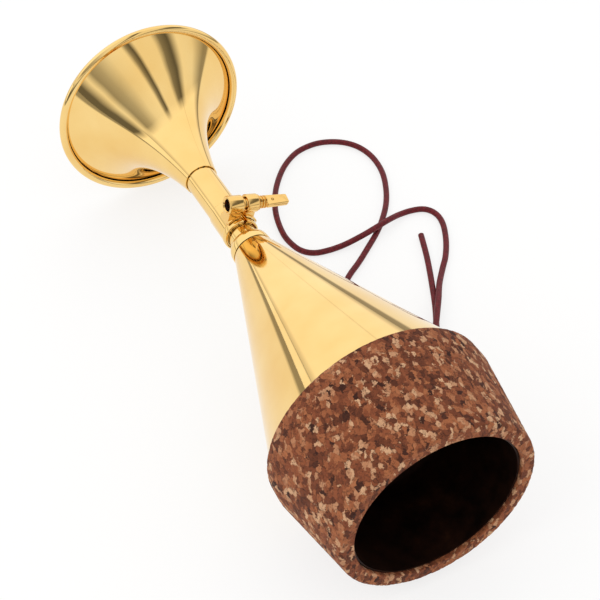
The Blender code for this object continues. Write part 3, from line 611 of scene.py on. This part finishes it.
def makeLug(name, side, length, node):
    near = clamp["split"] / 2
    low, high = sorted((side * near, side * (near + length)))
    barrel, edge = clamp["barrel"], clamp["round"]
    outline = [(0.0, high)] + arc((barrel - edge, high - edge), (edge, edge),
                                  steps(0.0, math.pi / 2, 5))
    outline += arc((barrel - edge, low + edge), (edge, edge), steps(math.pi / 2, math.pi, 5))
    outline.append((0.0, low))
    lug = turnedMesh(name, metres(outline), screw["segments"], clampPlace)
    webLow, webHigh = sorted((side * (near + clamp["faceStep"]),
                              side * (near + length - clamp["webInset"])))
    web = blockMesh("web", (-clamp["height"] + collarBore / 2, -clamp["web"] / 2, webLow),
                    (0.0, clamp["web"] / 2, webHigh), clampPlace)
    foot = collarRadius + gaps["lap"] + clamp["saddle"]
    front = barrelStation - clamp["saddleWidth"] / 2
    rear = barrelStation + clamp["saddleWidth"] / 2
    run, corner = clamp["footEdge"], clamp["footCorner"]
    ring = [(foot - run, rear), (foot - corner, rear - corner), (foot, rear - run),
            (foot, front + run), (foot - corner, front + corner), (foot - run, front),
            (collarBore, front), (collarBore, rear)]
    saddle = turnedMesh("saddle", metres(ring), tube["segments"], mutePlace)
    reachLow, reachHigh = sorted((side * (near + 2 * clamp["faceStep"]),
                                  side * clamp["reach"]))
    wide, past = clamp["wide"], clamp["past"]
    block = blockMesh("reach", (-clamp["height"], -wide, reachLow), (0.0, wide, reachHigh),
                      clampPlace)
    saddle = carve(saddle, [("INTERSECT", block)])
    seatRadius = collarRadius + gaps["lap"]
    seat = [(0.0, collarEnd + past), (seatRadius, collarEnd + past),
            (seatRadius, collarFront - past), (0.0, collarFront - past)]
    beadRoom = collarRadius + clamp["beadHeight"] + gaps["lap"]
    beadFront = collarEnd - clamp["beadLength"] - gaps["lap"]
    beadSeat = [(0.0, collarEnd + past), (beadRoom, collarEnd + past), (beadRoom, beadFront),
                (0.0, beadFront)]
    bore = screw["radius"] + screw["gap"]
    mouth = bore + screw["sink"]
    hole = [(0.0, high + past), (mouth, high + past), (mouth, high),
            (bore, high - screw["sink"]), (bore, low + screw["sink"]), (mouth, low),
            (mouth, low - past), (0.0, low - past)]
    facets = tube["segments"]
    mesh = carve(lug, [("UNION", web), ("UNION", saddle),
                       ("DIFFERENCE", turnedMesh("seat", metres(seat), facets, mutePlace)),
                       ("DIFFERENCE", turnedMesh("bead", metres(beadSeat), facets, mutePlace)),
                       ("DIFFERENCE", turnedMesh("hole", metres(hole), screw["segments"],
                                                 clampPlace))])
    addPiece(name, mesh, "bell", [node], [castBrass], 28)


def threadOutline(crest, root, low, high):
    # A saw-tooth of the screw's pitch, down from high to low
    points = []
    station = high
    while station - screw["pitch"] >= low - screw["slack"]:
        points += [(root, station), (crest, station - screw["pitch"] / 2)]
        station -= screw["pitch"]
    return points


def makeScrew():
    segments = screw["segments"]
    near = clamp["split"] / 2
    bore = screw["radius"] + screw["gap"]
    rim, edge = screw["washer"], screw["edge"]
    outline = [(rim, washerHigh - edge), (rim, washerLow + edge), (rim - edge, washerLow),
               (bore, washerLow), (bore, washerHigh), (rim - edge, washerHigh)]
    mesh = turnedMesh("washer", metres(outline), segments, clampPlace)
    addPiece("screw_washer_brass", mesh, "thumb_screw", ["screw_washer"],
             [turnedBrass])

    # The tapped hole's thread stands a little proud of the threaded lug's bore.
    crest, root, back = (bore + offset for offset in screw["tap"])
    low = -near - clamp["threaded"] + screw["sink"]
    teeth = threadOutline(crest, root, low, -near - screw["sink"])
    inner = [(back, -near - screw["sink"]), (back, low)]
    mesh = turnedMesh("tapped", metres(inner + teeth[::-1]), segments, clampPlace)
    addPiece("tapped_thread", mesh, "bell", [], [dullShadedBrass], 20)

    pitch = screw["shoulderLength"] / (2 * screw["grooves"] + 1)
    turn = screw["round"]
    outline = [(0.0, shoulderHigh)]
    for i in range(screw["grooves"]):
        top = shoulderHigh - 2 * i * pitch
        outline += arc((screw["shoulder"] - turn, top - turn), (turn, turn),
                       steps(0.0, math.pi / 2, 3))
        outline += [(screw["shoulder"], top - pitch)]
        outline += arc((screw["shoulder"], top - 1.5 * pitch), (-screw["groove"], pitch / 2),
                       steps(0.0, math.pi, 8))[1:-1]
    outline += [(screw["shoulder"], shoulderLow + pitch), (screw["shoulder"], shoulderLow),
                (screw["radius"], shoulderLow)]
    tip = -near - screw["reach"]
    outline += threadOutline(screw["radius"], screw["radius"] - screw["thread"], tip,
                             shoulderLow - screw["runOut"])
    outline += [(screw["radius"] - screw["point"], tip), (0.0, tip)]
    body = turnedMesh("screw", metres(outline), segments, clampPlace)
    tangEnd = shoulderHigh + gaps["lap"] + paddle["tang"]
    thick, wide = screw["tangHalf"]
    tang = blockMesh("tang", (-thick, -wide, shoulderHigh - screw["tangRoot"]),
                     (thick, wide, tangEnd), paddlePlace)
    mesh = carve(body, [("UNION", tang)])
    addPiece("thumb_screw_brass", mesh, "thumb_screw", ["thumb_screw"],
             [turnedBrass], 28)


paddle = {"angle": math.radians(15), "length": 8.6, "root": 4.3, "tip": 3.7, "thick": 2.0,
          "corner": 0.7, "tang": 3.9, "pin": 0.35, "pinPlace": 2.5, "pinProud": 0.1,
          "soft": 0.35, "softSteps": 4, "pinSegments": 24, "pinEdge": (0.1, 0.02, 0.12),
          "holeLength": 6}
paddlePlace = clampPlace @ Matrix.Rotation(paddle["angle"], 4, "Z")


def makePaddle():
    base = shoulderHigh + gaps["lap"]
    half, tipHalf, corner = paddle["root"] / 2, paddle["tip"] / 2, paddle["corner"]
    rim = [(0.0, half)]
    for side in (1, -1):
        turns = steps(0.0, math.pi / 2, 6)
        for a in turns[::-1] if side == 1 else turns:
            rim.append((paddle["length"] - corner * (1 - math.cos(a)),
                        side * (tipHalf - corner * (1 - math.sin(a)))))
    rim.append((0.0, -half))
    work = bmesh.new()
    rings = []
    for level in (-1, 1):
        rings.append([work.verts.new(paddlePlace @ Vector((level * paddle["thick"] / 2 * mm,
                                                           across * mm, (base + along) * mm)))
                      for along, across in rim])
    work.faces.new(rings[0])
    work.faces.new(rings[1][::-1])
    for i in range(len(rim)):
        j = (i + 1) % len(rim)
        work.faces.new((rings[0][i], rings[1][i], rings[1][j], rings[0][j]))
    bmesh.ops.recalc_face_normals(work, faces=work.faces)
    mesh = bpy.data.meshes.new("paddle")
    work.to_mesh(mesh)
    work.free()
    mesh = soften(mesh, paddle["soft"] * mm, paddle["softSteps"])
    thick, wide = (size + gaps["lap"] for size in screw["tangHalf"])
    socket = blockMesh("socket", (-thick, -wide, base - clamp["past"]),
                       (thick, wide, base + paddle["tang"] + gaps["lap"]), paddlePlace)
    pinPlace = paddlePlace @ Matrix.Translation((0, 0, (base + paddle["pinPlace"]) * mm))
    pinPlace = pinPlace @ Matrix.Rotation(math.pi / 2, 4, "Y")
    reach = paddle["thick"] / 2 + paddle["pinProud"]
    pin, facets, half = paddle["pin"], paddle["pinSegments"], paddle["holeLength"] / 2
    holeRadius = pin + gaps["lap"]
    hole = [(0.0, half), (holeRadius, half), (holeRadius, -half), (0.0, -half)]
    mesh = carve(mesh, [("DIFFERENCE", socket),
                        ("DIFFERENCE", turnedMesh("hole", metres(hole), facets, pinPlace))])
    addPiece("thumb_paddle_brass", mesh, "thumb_screw", ["thumb_paddle"],
             [castBrass], 28)
    inset, crown, edge = paddle["pinEdge"]
    outline = [(0.0, reach), (pin - inset, reach - crown), (pin, reach - edge),
               (pin, -reach + edge), (pin - inset, -reach + crown), (0.0, -reach)]
    mesh = turnedMesh("pin", metres(outline), facets, pinPlace)
    addPiece("paddle_pin_brass", mesh, "thumb_screw", ["paddle_pin"],
             [turnedBrass])


neck = {"radius": 5.05, "wall": 0.35, "front": tube["end"] - 29.0, "rear": cone["front"] + 11.0,
        "segments": 128}
ferrule = {"front": tube["end"] + 4.5, "length": 4.7, "radius": 7.25, "band": 1.5,
           "lip": 0.35, "spigot": 3.0, "edge": 0.12, "noseSteps": 20, "segments": 192}


def makeNeck():
    bore = neck["radius"] - neck["wall"]
    outline = [(neck["radius"], neck["rear"]), (neck["radius"], neck["front"]),
               (bore, neck["front"]), (bore, neck["rear"])]
    mesh = turnedMesh("neck", metres(outline), neck["segments"], mutePlace, 2)
    addPiece("neck_tube_brass", mesh, "cone", ["neck_tube"],
             [brass, dullShadedBrass])
    hole = neck["radius"] + gaps["lap"]
    shoulder = ferrule["front"] + ferrule["length"]
    spigot = cone["small"] - cone["wall"] / math.cos(coneSlope) - gaps["lap"]
    roundLength = ferrule["length"] - ferrule["band"]
    lip = hole + ferrule["lip"]
    turn = ferrule["edge"]
    edge = arc((ferrule["radius"] - turn, shoulder - turn), (turn, turn),
               steps(0.0, math.pi / 2, 3))
    nose = arc((lip, ferrule["front"] + roundLength), (ferrule["radius"] - lip, roundLength),
               steps(math.pi / 2, math.pi, ferrule["noseSteps"]))
    outline = [(spigot, cone["front"] + ferrule["spigot"]), (spigot, shoulder)] + edge + nose
    outline += [(hole, ferrule["front"]), (hole, cone["front"] + ferrule["spigot"])]
    mesh = turnedMesh("ferrule", metres(outline), ferrule["segments"], mutePlace)
    addPiece("neck_ferrule_brass", mesh, "cone", ["neck_ferrule"], [brass])


base = {"wall": 0.5, "lap": 4.2, "shoulder": 3.8, "setback": 1.5, "segments": 192}
corkForm = {"widest": 37.7, "front": 37.5, "end": 32.7, "widestAt": 5.5, "wall": 4.8,
            "shoulderWall": 3.2, "round": 1.2, "segments": 640, "rows": 90, "endRings": 14,
            "boreRings": 24, "grain": 2.5, "roughMm": 0.9, "brokenMm": 3.1, "pit": 0.28,
            "boreEdge": 0.3, "skin": 0.6, "gapShare": 0.22, "gapPart": 0.55,
            "roughPart": 0.25, "brokenFrom": 0.32, "brokenPart": 2.2, "frontDrop": 0.2,
            "frontRun": 5.1, "frontInset": 0.38, "frontRings": 10}
corkBore = ((corkForm["widest"] - corkForm["shoulderWall"], cone["end"] + base["shoulder"]),
            (corkForm["end"] - corkForm["wall"], openEnd))


def lineRadius(line, station):
    (r0, s0), (r1, s1) = line
    return r0 + (r1 - r0) * (station - s0) / (s1 - s0)


def makeCone():
    wall = cone["wall"] / math.cos(coneSlope)
    line = ((cone["small"], cone["front"]), (cone["large"], cone["end"]))
    stations = steps(cone["end"], cone["front"], cone["steps"])
    outer = [(lineRadius(line, station), station) for station in stations]
    inner = [(radius - wall, station) for radius, station in reversed(outer)]
    mesh = turnedMesh("cone", metres(outer + inner), cone["segments"], mutePlace, len(outer))
    addPiece("cone_brass", mesh, "cone", ["cone_shell"], [brass, dullShadedBrass])
    lap = wall + gaps["lap"]
    lapFront = cone["end"] - base["lap"]
    shoulder = cone["end"] + base["shoulder"]
    end = openEnd - base["setback"]
    outer = [(lineRadius(corkBore, end) - gaps["seam"], end),
             (lineRadius(corkBore, shoulder) - gaps["seam"], shoulder),
             (cone["large"] - lap + gaps["lap"] / 2, cone["end"] + base["shoulder"] / 5),
             (cone["large"] - lap, cone["end"]), (lineRadius(line, lapFront) - lap, lapFront)]
    inner = [(radius - base["wall"], station) for radius, station in reversed(outer)]
    mesh = turnedMesh("base", metres(outer + inner), base["segments"], mutePlace)
    addPiece("base_shell_brass", mesh, "cone", ["base_shell"], [dullShadedBrass])


def makeCorkSleeve():
    # The sleeve's skin is pitted where granules broke out, always inwards from its true form.
    cornerStation = openEnd - corkForm["round"]
    taper = ((corkForm["widest"], cone["end"] + corkForm["widestAt"]), (corkForm["end"], openEnd))
    corner = lineRadius(taper, cornerStation)
    flat = corkForm["end"] - corkForm["round"]
    bore = corkBore[1][0]
    outline = [(radius, openEnd)
               for radius in steps(bore + corkForm["boreEdge"], flat, corkForm["endRings"])]
    outline += arc((flat, cornerStation), (corner - flat, corkForm["round"]),
                   steps(0.0, math.pi / 2, 8))[1:]
    for station in steps(cornerStation, cone["end"] + corkForm["widestAt"], corkForm["rows"]):
        outline.append((lineRadius(taper, station), station))
    outline += [(corkForm["widest"] - corkForm["frontDrop"] * share,
                 cone["end"] + corkForm["widestAt"] - corkForm["frontRun"] * share)
                for share in steps(0.0, 1.0, corkForm["frontRings"])[1:]]
    outline += [(corkForm["front"] - corkForm["frontInset"], cone["end"]),
                (cone["large"] + gaps["seam"], cone["end"]), corkBore[0]]
    outline += [(lineRadius(corkBore, station), station)
                for station in steps(corkBore[0][1], openEnd - corkForm["boreEdge"],
                                     corkForm["boreRings"])[1:]]
    mesh = turnedMesh("cork", metres(outline), corkForm["segments"], mutePlace)
    back = mutePlace.inverted()
    grain = corkForm["grain"] * mm
    for vert in mesh.vertices:
        distances, _ = noise.voronoi(vert.co / grain)
        gapDepth = max(0.0, 1.0 - (distances[1] - distances[0]) / corkForm["gapShare"])
        rough = noise.noise(vert.co / (corkForm["roughMm"] * mm)) * 0.5 + 0.5
        broken = max(0.0, noise.noise(vert.co / (corkForm["brokenMm"] * mm))
                     - corkForm["brokenFrom"]) * corkForm["brokenPart"]
        share = corkForm["gapPart"] * gapDepth * rough + corkForm["roughPart"] * rough + broken
        depth = corkForm["pit"] * share * mm
        local = back @ vert.co
        radial = Vector((local.x, local.y, 0.0))
        station = local.z / mm
        if radial.length / mm > lineRadius(corkBore, station) + corkForm["skin"]:
            if station > cornerStation:
                local.z -= depth
            local -= radial.normalized() * depth
            vert.co = mutePlace @ local
    addPiece("cork_sleeve_granules", mesh, "cone", ["cork_sleeve"], [cork], 60)


makeBell()
print("bell done")
makeTube()
makeLug("threaded_lug_brass", -1, clamp["threaded"], "threaded_lug")
makeLug("plain_lug_brass", 1, clamp["plain"], "plain_lug")
makeScrew()
makePaddle()
print("clamp done")
makeNeck()
makeCone()
makeCorkSleeve()
print("cone and cork done")

for node in ("strap_pad", "strap_eye"):
    solid = frame["nodes"][node].data
    solid.materials.clear()
    solid.materials.append(brass)
    solid.shade_smooth()
print("strap eye done")

light = {"world": 1.16, "floorGlow": 0.75, "tableEdge": 0.5, "farFloor": 0.15,
         "floor": "#f8f7f5", "floorHalf": 3.0, "floorLevel": -0.0001,
         "key softbox": {"place": (0.1, -0.9, 1.0), "size": 0.7, "power": 3.0},
         "fill softbox": {"place": (-0.9, 0.5, 0.9), "size": 0.8, "power": 1.2}}
# Round the mute from the lace's side (0.5) over the top (0.75) to the near side (1): brightness.
room = {"waves": 1.6, "stir": 0.1, "matte": 0.84,
        "bellSide": ((0.5, 0.18), (0.54, 0.8), (0.575, 0.85), (0.6, 0.1), (0.625, 0.22),
                     (0.645, 0.85), (0.7, 0.85), (0.715, 0.1), (0.73, 0.28), (0.745, 0.88),
                     (0.8, 0.8), (0.86, 0.42), (0.9, 0.3), (0.93, 0.85), (0.965, 0.13)),
        "corkSide": ((0.5, 0.3), (0.53, 1.0), (0.601, 1.0), (0.6025, 0.4), (0.604, 1.0),
                     (0.905, 1.0), (0.93, 0.74), (0.939, 0.7), (0.941, 0.2), (0.943, 0.92),
                     (0.95, 1.0))}


def makeFloor():
    material, tree, shader = newMaterial("pale paper sweep")
    shader.inputs["Base Color"].default_value = linear(light["floor"])
    shader.inputs["Roughness"].default_value = 0.9
    ray = addNode(tree, "ShaderNodeLightPath")
    seen = addNode(tree, "ShaderNodeMath", {0: ray.outputs["Is Camera Ray"],
                                            1: ray.outputs["Is Glossy Ray"]}, operation="MAXIMUM")
    through = addNode(tree, "ShaderNodeMath", {0: seen.outputs[0],
                                               1: ray.outputs["Is Transmission Ray"]},
                      operation="MAXIMUM")
    share = addNode(tree, "ShaderNodeMath", {0: through.outputs[0], 1: light["floorGlow"]},
                    operation="MULTIPLY")
    # Far off, the brass mirrors a darker floor, as past the edge of a lit table.
    place = addNode(tree, "ShaderNodeTexCoord").outputs["Object"]
    far = addNode(tree, "ShaderNodeVectorMath", {0: place}, operation="LENGTH")
    edge = addNode(tree, "ShaderNodeMapRange", {"Value": far.outputs["Value"],
                                                "From Min": light["tableEdge"],
                                                "From Max": light["tableEdge"] * 1.5})
    dim = addNode(tree, "ShaderNodeMath", {0: edge.outputs["Result"],
                                           1: ray.outputs["Is Glossy Ray"]},
                  operation="MULTIPLY")
    tone = addNode(tree, "ShaderNodeMix", {"Factor": dim.outputs[0], 6: grey(1.0),
                                           7: grey(light["farFloor"])}, data_type="RGBA")
    glow = addNode(tree, "ShaderNodeEmission", {"Color": tone.outputs[2]})
    mix = addNode(tree, "ShaderNodeMixShader", {
        0: share.outputs[0], 1: shader.outputs["BSDF"], 2: glow.outputs["Emission"]})
    tree.links.new(mix.outputs["Shader"], tree.nodes["Material Output"].inputs["Surface"])
    mesh = bpy.data.meshes.new("floor")
    half, level = light["floorHalf"], light["floorLevel"]
    mesh.from_pydata([(-half, -half, level), (half, -half, level), (half, half, level),
                      (-half, half, level)], [], [(0, 1, 2, 3)])
    mesh.materials.append(material)
    floor = bpy.data.objects.new("floor", mesh)
    bpy.context.scene.collection.objects.link(floor)


def makeWorld():
    # A white room with dark bands, most of them on the bell's side, so that the polished brass
    # has long streaks to show. The camera sees plain white, and matte surfaces an even white.
    world = bpy.data.worlds.new("studio")
    world.use_nodes = True
    tree = world.node_tree
    background = tree.nodes["Background"]
    way = addNode(tree, "ShaderNodeTexCoord").outputs["Generated"]
    waves = addNode(tree, "ShaderNodeTexNoise", {"Vector": way, "Scale": room["waves"]})
    stirred = addNode(tree, "ShaderNodeMix", {"Factor": room["stir"], 4: way,
                                              5: waves.outputs["Color"]},
                      data_type="VECTOR").outputs[1]
    axes = addNode(tree, "ShaderNodeSeparateXYZ", {"Vector": stirred})
    # The radial gradient runs round the mute's long axis.
    across = addNode(tree, "ShaderNodeCombineXYZ", {
        "X": axes.outputs["Y"], "Y": axes.outputs["Z"]})
    turn = addNode(tree, "ShaderNodeTexGradient", {"Vector": across.outputs["Vector"]},
                   gradient_type="RADIAL").outputs["Fac"]
    front, rear = (addNode(tree, "ShaderNodeValToRGB", {"Fac": turn},
                           [(at, grey(level)) for at, level in room[side]]).outputs["Color"]
                   for side in ("bellSide", "corkSide"))
    ahead = addNode(tree, "ShaderNodeValToRGB", {"Fac": axes.outputs["X"]},
                    [(0.0, grey(0.0)), (0.12, grey(1.0))]).outputs["Color"]
    shade = addNode(tree, "ShaderNodeMix", {"Factor": ahead, 6: rear, 7: front},
                    data_type="RGBA").outputs[2]
    ray = addNode(tree, "ShaderNodeLightPath")
    lit = addNode(tree, "ShaderNodeMix", {"Factor": ray.outputs["Is Glossy Ray"],
                                          6: grey(room["matte"]), 7: shade},
                  data_type="RGBA")
    shown = addNode(tree, "ShaderNodeMix", {"Factor": ray.outputs["Is Camera Ray"],
                                            6: lit.outputs[2], 7: grey(1.0)},
                    data_type="RGBA")
    tree.links.new(shown.outputs[2], background.inputs["Color"])
    background.inputs["Strength"].default_value = light["world"]
    bpy.context.scene.world = world


def makeLamp(name):
    # A lamp aimed at the origin, which the brass doesn't mirror
    data = bpy.data.lights.new(name, "AREA")
    data.size = light[name]["size"]
    data.energy = light[name]["power"]
    lamp = bpy.data.objects.new(name, data)
    lamp.location = light[name]["place"]
    lamp.visible_glossy = False
    lamp.rotation_euler = (-lamp.location).to_track_quat("-Z", "Y").to_euler()
    bpy.context.scene.collection.objects.link(lamp)


makeFloor()
makeWorld()
makeLamp("key softbox")
makeLamp("fill softbox")
print("studio done")
